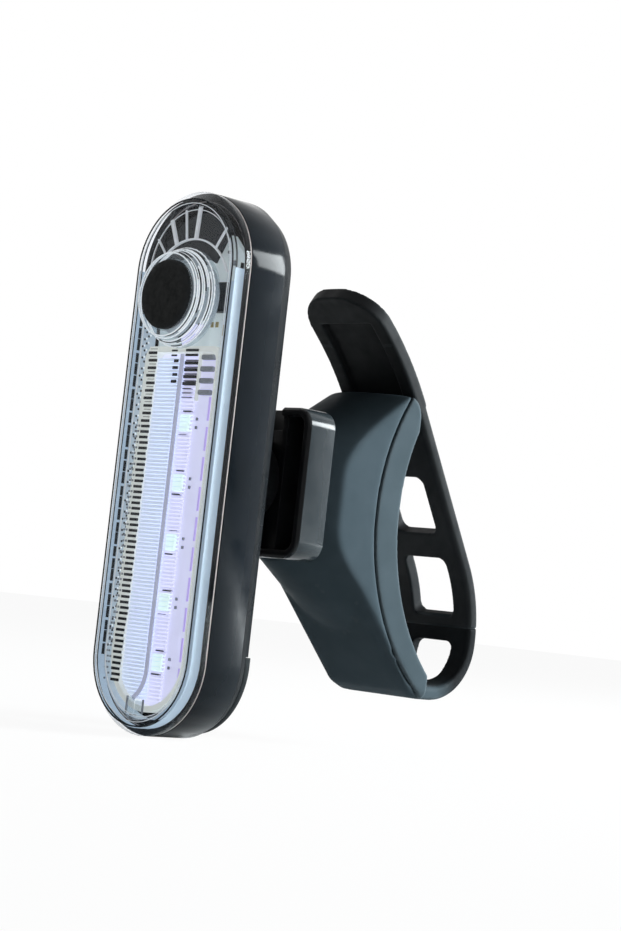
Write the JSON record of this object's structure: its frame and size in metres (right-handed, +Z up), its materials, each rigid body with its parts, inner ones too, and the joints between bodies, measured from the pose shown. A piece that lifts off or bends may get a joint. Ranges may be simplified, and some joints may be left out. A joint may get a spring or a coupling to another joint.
{
  "type": "bicycle rear light",
  "caption": "Stadium-shaped bicycle rear light with clear lens, push button and swivelling slide-in foot on a strap-on saddle mount.",
  "frame": {"origin": "deepest point of the saddle's hollow face, where the bicycle tube touches it", "axes": "+X along the tube, across the lamp; the lens looks to -Y; +Z up along the lamp's length"},
  "size_m": [0.0264, 0.0761, 0.09],
  "materials": {
    "satin_plastic": "satin black plastic",
    "silicone": "soft matte silicone",
    "housing": "gloss black plastic",
    "clear_lens": "clear polycarbonate",
    "clear_optic": "clear ribbed polycarbonate",
    "white_tray": "white plastic",
    "button_rubber": "matte black rubber",
    "seal": "pale rubber",
    "board": "white board varnish",
    "led": "white and pale yellow",
    "switch_metal": "bright metal cover",
    "switch_black": "black plastic",
    "chip_black": "moulded black epoxy",
    "steel": "plain steel",
    "brass": "knurled brass",
    "tape": "foam tape",
    "cell": "foil pouch",
    "tab_nickel": "nickel strip",
    "socket_metal": "nickel plated shell"
  },
  "bodies": {
    "mount": {"dock_block": "satin_plastic", "dock_screws": "steel", "detent_leaf": "steel", "saddle_body": "satin_plastic", "saddle_liner": "silicone"},
    "foot": {"dock_foot": "satin_plastic"},
    "lamp": {"rear_housing": "housing", "lens_seal": "seal", "lens_cover": "clear_lens", "circuit_board": "board", "led_chips": "led", "switch_base": "switch_metal", "board_chips": "chip_black", "board_screw": "steel", "reflector_tray": "white_tray", "prism_optic": "clear_optic", "battery_tape": "tape", "battery_cell": "cell", "battery_tabs": "tab_nickel", "port_socket": "socket_metal", "cover_tether": "silicone", "swivel_insert": "brass", "swivel_washer": "steel", "swivel_screw": "steel"},
    "button": {"button_cap": "button_rubber"},
    "plunger": {"switch_plunger": "switch_black"},
    "flap": {"port_cover": "silicone"},
    "strap": {"strap": "silicone"}
  },
  "joints": [
    {"name": "lamp_release", "type": "slide", "parent": "mount", "child": "foot", "axis": [0, 0, 1], "range_m": [0, 0.024]},
    {"name": "lamp_swivel", "type": "hinge", "parent": "foot", "child": "lamp", "pos_m": [0, -0.0308, 0.0023], "axis": [0, 1, 0], "range_deg": [-90, 90]},
    {"name": "button_press", "type": "slide", "parent": "lamp", "child": "button", "axis": [0, 1, 0], "range_m": [0, 0.00035], "stiffness_N_per_m": 3000},
    {"name": "plunger_press", "type": "slide", "parent": "lamp", "child": "plunger", "axis": [0, 1, 0], "range_m": [0, 0.00035]},
    {"name": "cover_open", "type": "hinge", "parent": "lamp", "child": "flap", "pos_m": [0, -0.0334, -0.0273], "axis": [1, 0, 0], "range_deg": [0, 120], "stiffness_Nm_per_rad": 0.002},
    {"name": "strap_open", "type": "hinge", "parent": "mount", "child": "strap", "pos_m": [0, 0.0253, -0.0183], "axis": [-1, 0, 0], "range_deg": [0, 100]}
  ],
  "couplings": [
    {"joint": "plunger_press", "follows": "button_press", "ratio": 1}
  ]
}
